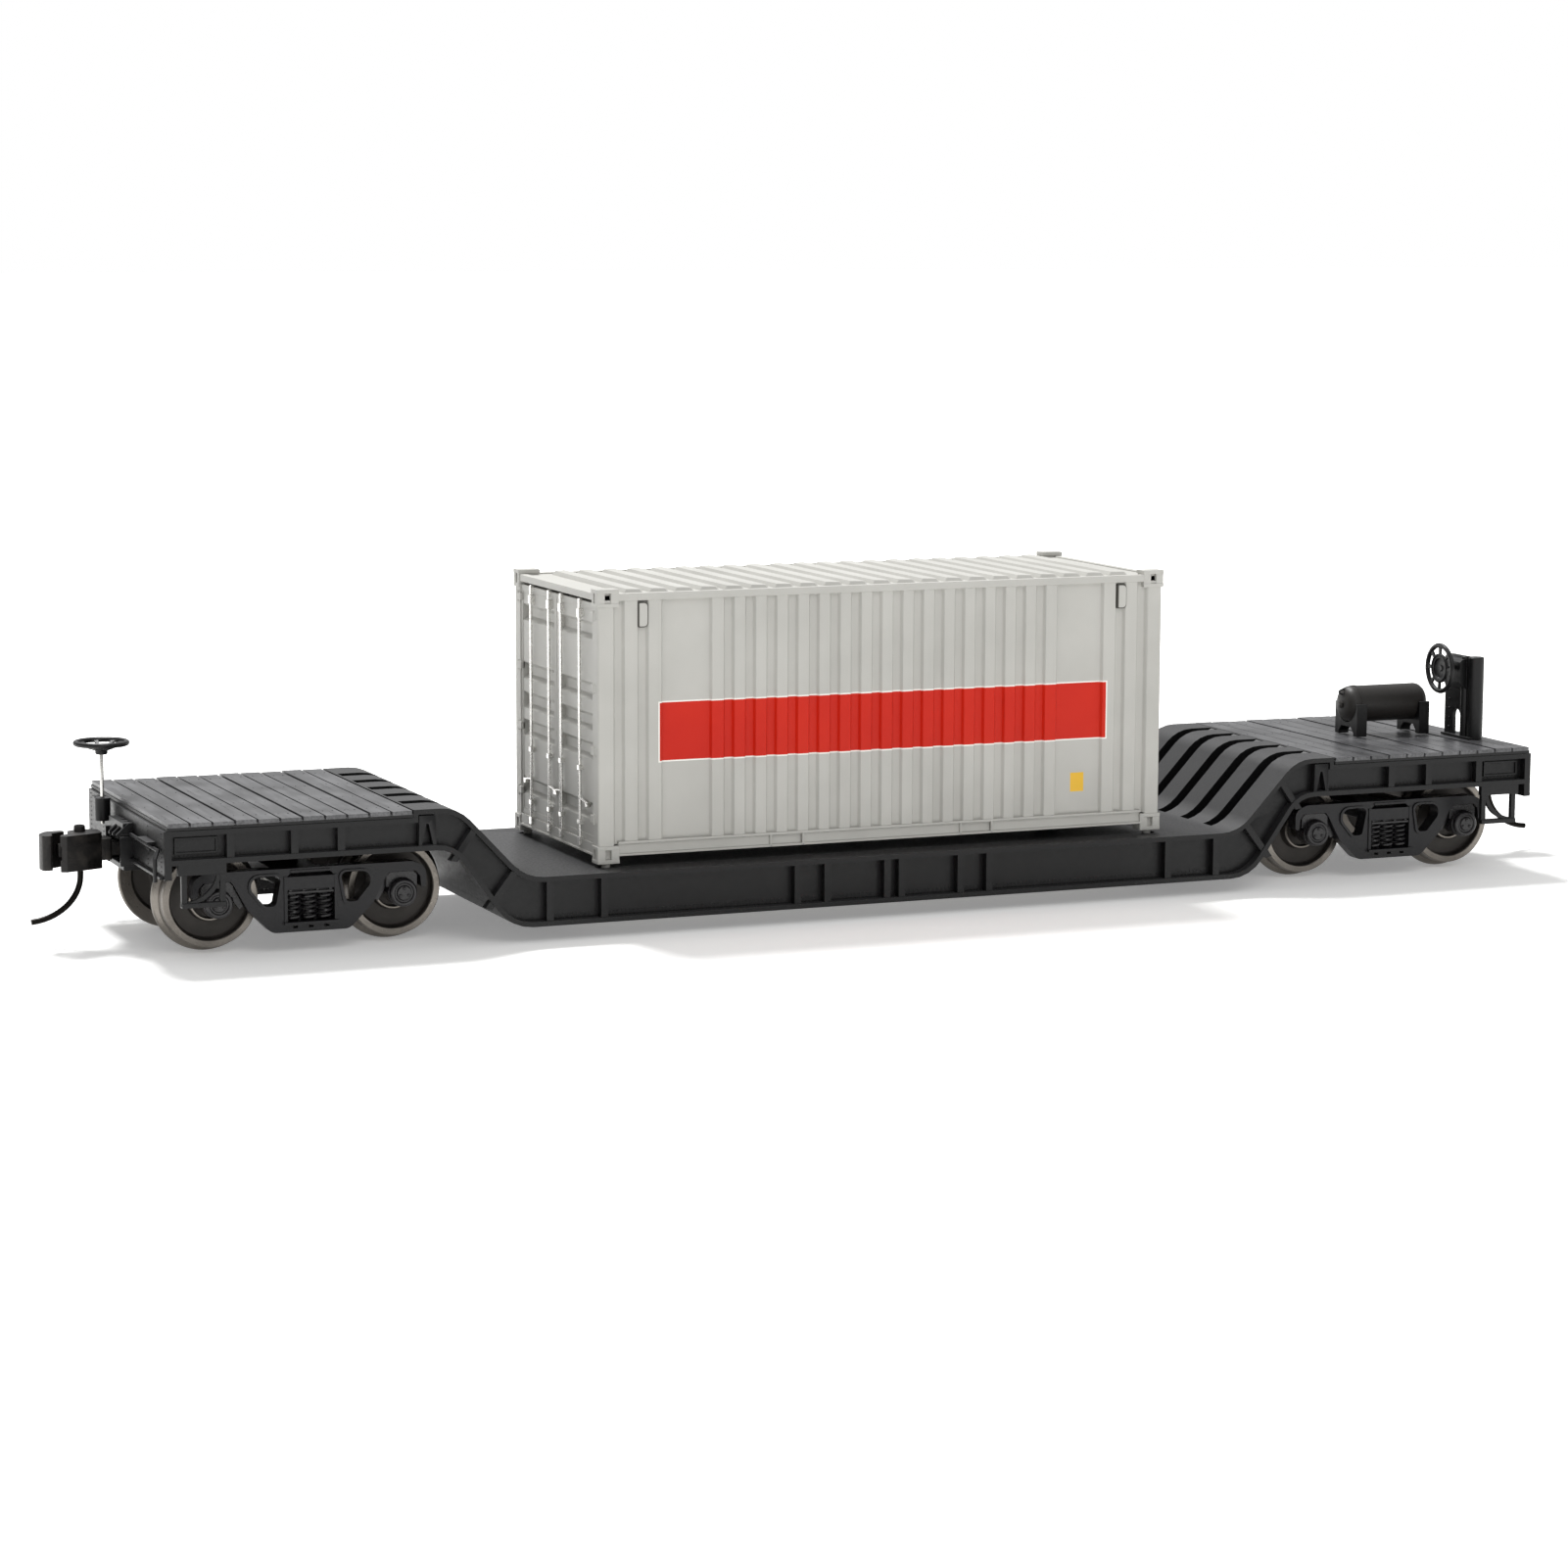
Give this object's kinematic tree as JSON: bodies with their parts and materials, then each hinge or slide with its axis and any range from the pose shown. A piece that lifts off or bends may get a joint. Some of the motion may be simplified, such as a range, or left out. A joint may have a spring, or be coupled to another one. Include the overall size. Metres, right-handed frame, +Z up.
{
  "type": "model depressed-centre flat car",
  "caption": "1:87 scale model railway flat car with a sunken middle deck, planked ends over swivelling trucks, couplers at both ends, and a lift-off freight container.",
  "frame": {"origin": "midway between the ends and on the centre line, level with the lowest point of the wheel flanges", "axes": "+X along the car towards end b, which has the air reservoir; +Y across it, to the left of someone who faces +X; +Z up"},
  "size_m": [0.1882, 0.0344, 0.0379],
  "materials": {
    "body_plastic": "moulded, satin black",
    "plank_paint": "moulded boards, matt dark grey",
    "truck_plastic": "moulded, satin black",
    "wheel": "turned and blackened, bright rim",
    "axle": "turned",
    "coupler": "blackened casting",
    "wire": "drawn wire",
    "spring_bronze": "rolled strip",
    "screw": "plain steel",
    "container": "moulded, pale grey with a red band"
  },
  "bodies": {
    "car": {"car_body": "body_plastic", "plank_deck_a": "plank_paint", "plank_deck_b": "plank_paint", "floor_weight": "screw", "truck_screw_a": "screw", "truck_screw_b": "screw", "coupler_a_spring": "spring_bronze", "coupler_b_spring": "spring_bronze", "coupler_box_lid_a": "body_plastic", "coupler_box_lid_b": "body_plastic", "coupler_box_screw_a": "screw", "coupler_box_screw_b": "screw", "uncoupling_lever_a": "body_plastic", "uncoupling_lever_b": "body_plastic", "stirrup_a_near": "body_plastic", "stirrup_a_far": "body_plastic", "stirrup_b_near": "body_plastic", "stirrup_b_far": "body_plastic", "brake_staff_bush": "body_plastic", "brake_stand": "body_plastic", "air_reservoir": "body_plastic"},
    "truck_a": {"truck_a_bolster": "truck_plastic", "truck_a_side_frame_near": "truck_plastic", "truck_a_side_frame_far": "truck_plastic", "truck_a_springs_near": "truck_plastic", "truck_a_springs_far": "truck_plastic"},
    "truck_a_wheelset_1": {"truck_a_wheelset_1_axle": "axle", "truck_a_wheelset_1_wheel_near": "wheel", "truck_a_wheelset_1_wheel_far": "wheel"},
    "truck_a_wheelset_2": {"truck_a_wheelset_2_axle": "axle", "truck_a_wheelset_2_wheel_near": "wheel", "truck_a_wheelset_2_wheel_far": "wheel"},
    "coupler_a": {"coupler_a_head": "coupler"},
    "knuckle_a": {"coupler_a_knuckle": "coupler", "coupler_a_trip_pin": "wire"},
    "truck_b": {"truck_b_bolster": "truck_plastic", "truck_b_side_frame_near": "truck_plastic", "truck_b_side_frame_far": "truck_plastic", "truck_b_springs_near": "truck_plastic", "truck_b_springs_far": "truck_plastic"},
    "truck_b_wheelset_1": {"truck_b_wheelset_1_axle": "axle", "truck_b_wheelset_1_wheel_near": "wheel", "truck_b_wheelset_1_wheel_far": "wheel"},
    "truck_b_wheelset_2": {"truck_b_wheelset_2_axle": "axle", "truck_b_wheelset_2_wheel_near": "wheel", "truck_b_wheelset_2_wheel_far": "wheel"},
    "coupler_b": {"coupler_b_head": "coupler"},
    "knuckle_b": {"coupler_b_knuckle": "coupler", "coupler_b_trip_pin": "wire"},
    "hand_brake": {"hand_brake_staff": "wire", "hand_brake_wheel": "body_plastic"},
    "brake_wheel": {"brake_wheel": "body_plastic"},
    "container": {"container_shell": "container", "container_floor": "container", "container_doors": "container", "lock_rod_1": "wire", "lock_rod_2": "wire", "lock_rod_3": "wire", "lock_rod_4": "wire"}
  },
  "joints": [
    {"name": "truck_a_swivel", "type": "hinge", "parent": "car", "child": "truck_a", "pos_m": [-0.0667, 0, 0.009], "axis": [0, 0, 1], "range_deg": [-8, 8]},
    {"name": "truck_a_wheelset_1_roll", "type": "hinge", "parent": "truck_a", "child": "truck_a_wheelset_1", "pos_m": [-0.0769, 0, 0.00589], "axis": [0, 1, 0], "continuous": true},
    {"name": "truck_a_wheelset_2_roll", "type": "hinge", "parent": "truck_a", "child": "truck_a_wheelset_2", "pos_m": [-0.0565, 0, 0.00589], "axis": [0, 1, 0], "continuous": true},
    {"name": "coupler_a_swing", "type": "hinge", "parent": "car", "child": "coupler_a", "pos_m": [-0.078, 0, 0.0105], "axis": [0, 0, 1], "range_deg": [-7, 7], "stiffness_Nm_per_rad": 0.0003},
    {"name": "knuckle_a_swing", "type": "hinge", "parent": "coupler_a", "child": "knuckle_a", "pos_m": [-0.0885, 0.0004, 0.0105], "axis": [0, 0, -1], "range_deg": [0, 15], "stiffness_Nm_per_rad": 0.0001},
    {"name": "truck_b_swivel", "type": "hinge", "parent": "car", "child": "truck_b", "pos_m": [0.0667, 0, 0.009], "axis": [0, 0, 1], "range_deg": [-8, 8]},
    {"name": "truck_b_wheelset_1_roll", "type": "hinge", "parent": "truck_b", "child": "truck_b_wheelset_1", "pos_m": [0.0565, 0, 0.00589], "axis": [0, 1, 0], "continuous": true},
    {"name": "truck_b_wheelset_2_roll", "type": "hinge", "parent": "truck_b", "child": "truck_b_wheelset_2", "pos_m": [0.0769, 0, 0.00589], "axis": [0, 1, 0], "continuous": true},
    {"name": "coupler_b_swing", "type": "hinge", "parent": "car", "child": "coupler_b", "pos_m": [0.078, 0, 0.0105], "axis": [0, 0, 1], "range_deg": [-7, 7], "stiffness_Nm_per_rad": 0.0003},
    {"name": "knuckle_b_swing", "type": "hinge", "parent": "coupler_b", "child": "knuckle_b", "pos_m": [0.0885, -0.0004, 0.0105], "axis": [0, 0, -1], "range_deg": [0, 15], "stiffness_Nm_per_rad": 0.0001},
    {"name": "hand_brake_turn", "type": "hinge", "parent": "car", "child": "hand_brake", "pos_m": [-0.0847, 0.0057, 0.0213], "axis": [0, 0, 1], "continuous": true},
    {"name": "brake_wheel_turn", "type": "hinge", "parent": "car", "child": "brake_wheel", "pos_m": [0.0771, -0.00645, 0.02396], "axis": [1, 0, 0], "continuous": true},
    {"name": "container_lift", "type": "slide", "parent": "car", "child": "container", "axis": [0, 0, 1], "range_m": [0, 0.03]}
  ]
}
